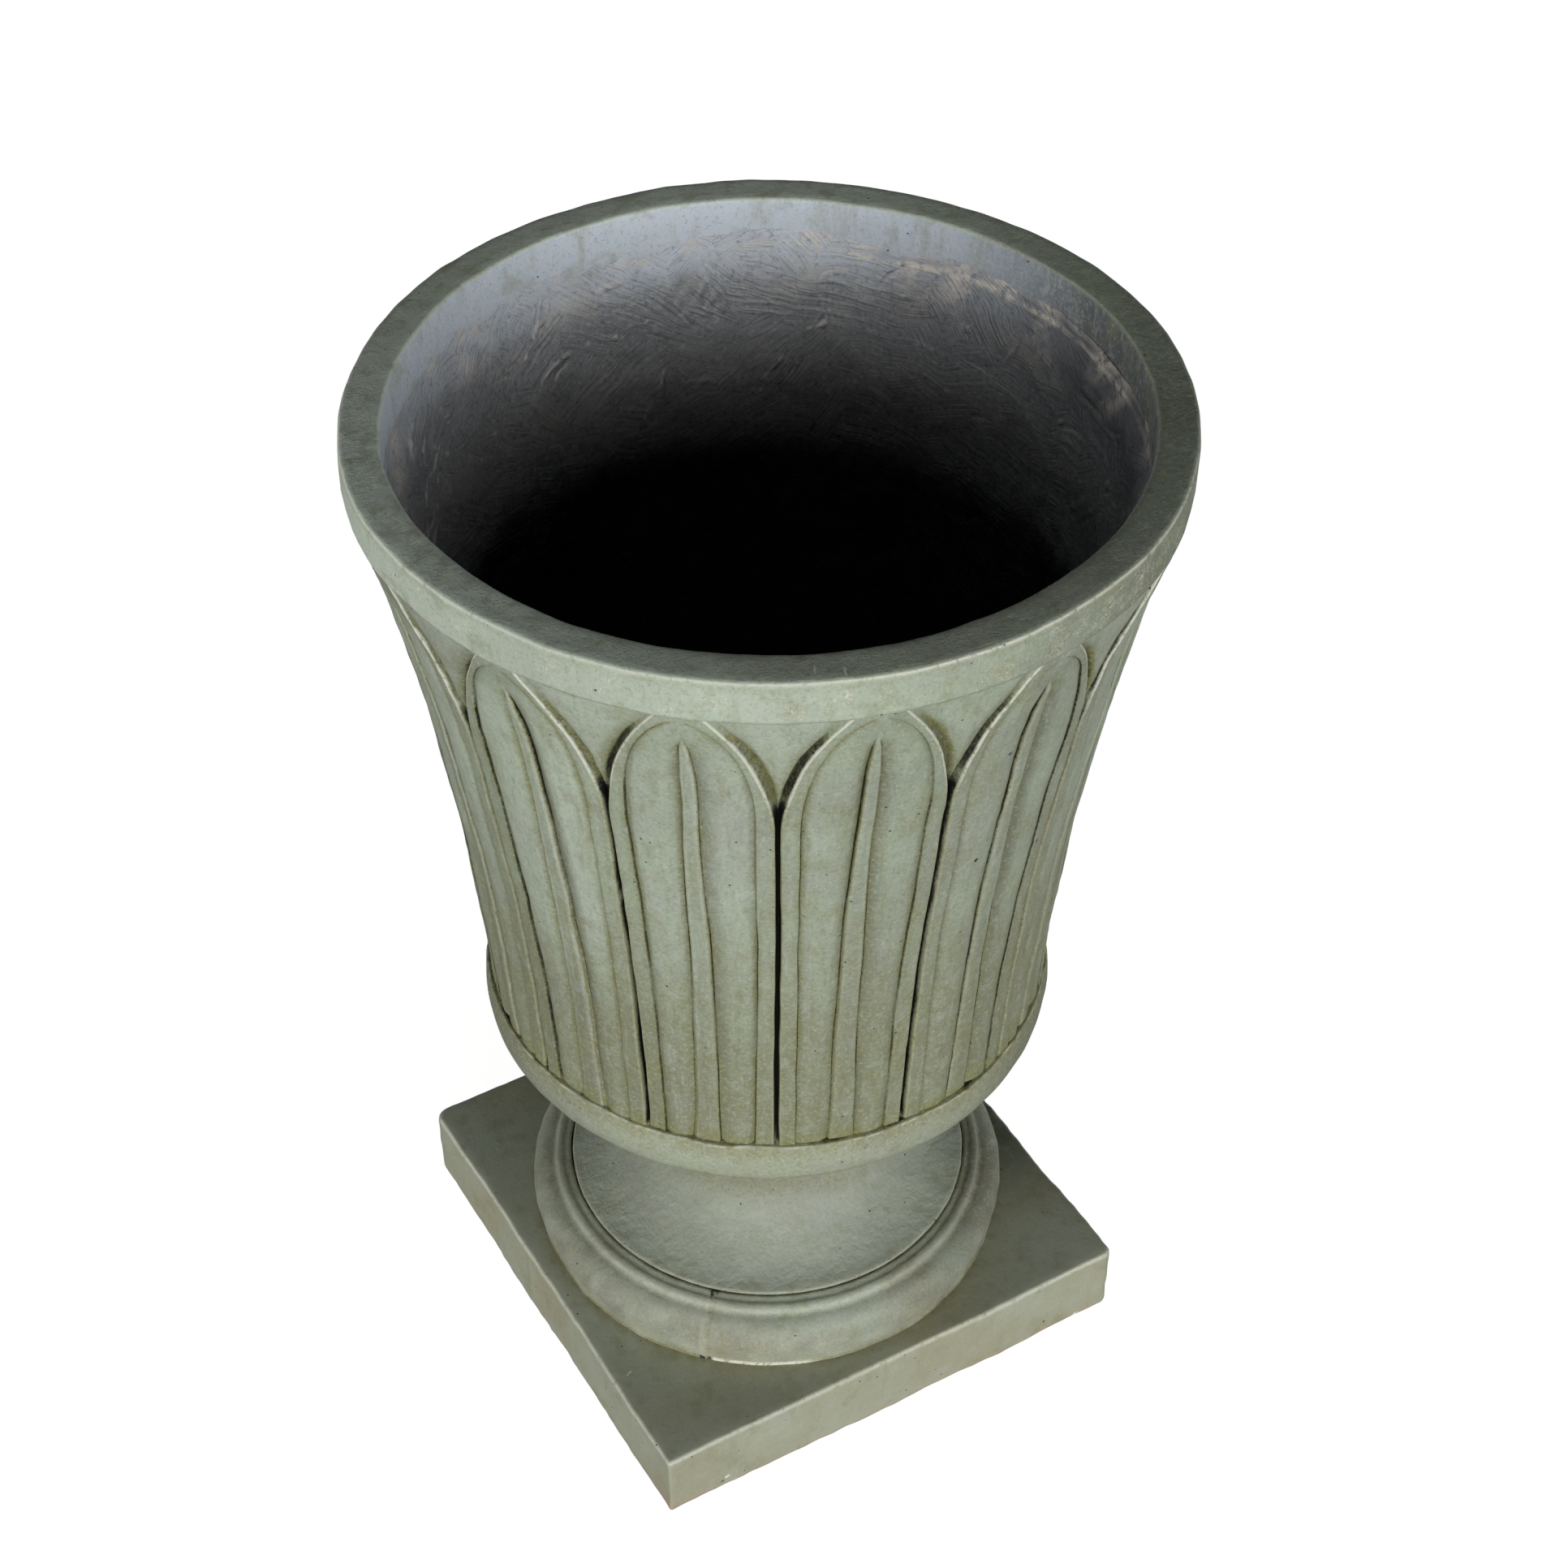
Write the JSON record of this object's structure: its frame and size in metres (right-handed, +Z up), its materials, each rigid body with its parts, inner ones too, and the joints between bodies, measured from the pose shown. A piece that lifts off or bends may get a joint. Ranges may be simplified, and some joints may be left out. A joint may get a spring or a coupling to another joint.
{
  "type": "garden urn planter",
  "caption": "Footed garden urn planter: flared cast bowl with raised lotus leaves on a hollow stem, moulded foot ring and square plinth, for holding soil and plants.",
  "frame": {"origin": "centre of the square plinth's underside, on the ground", "axes": "+Z up along the urn's axis; the plinth's sides are square to X and Y"},
  "size_m": [0.4179, 0.418, 0.631],
  "materials": {
    "cast_stone": "fine sandy cast stone, sage green paint with an olive wash in the hollows",
    "lining_coat": "trowelled and brushed fibre-reinforced backing coat, blue-grey, slight sheen",
    "mortar": "matt, gritty",
    "plug_rubber": "matt black"
  },
  "bodies": {
    "planter": {"plinth": "cast_stone", "foot_ring": "cast_stone", "stem_bed": "mortar", "stem": "cast_stone", "bowl_bed": "mortar", "bowl_shell": "cast_stone", "bowl_lining": "lining_coat"},
    "plug": {"drain_plug": "plug_rubber"}
  },
  "joints": [
    {"name": "plug_lift", "type": "slide", "parent": "planter", "child": "plug", "axis": [0, 0, 1], "range_m": [0, 0.05]}
  ]
}
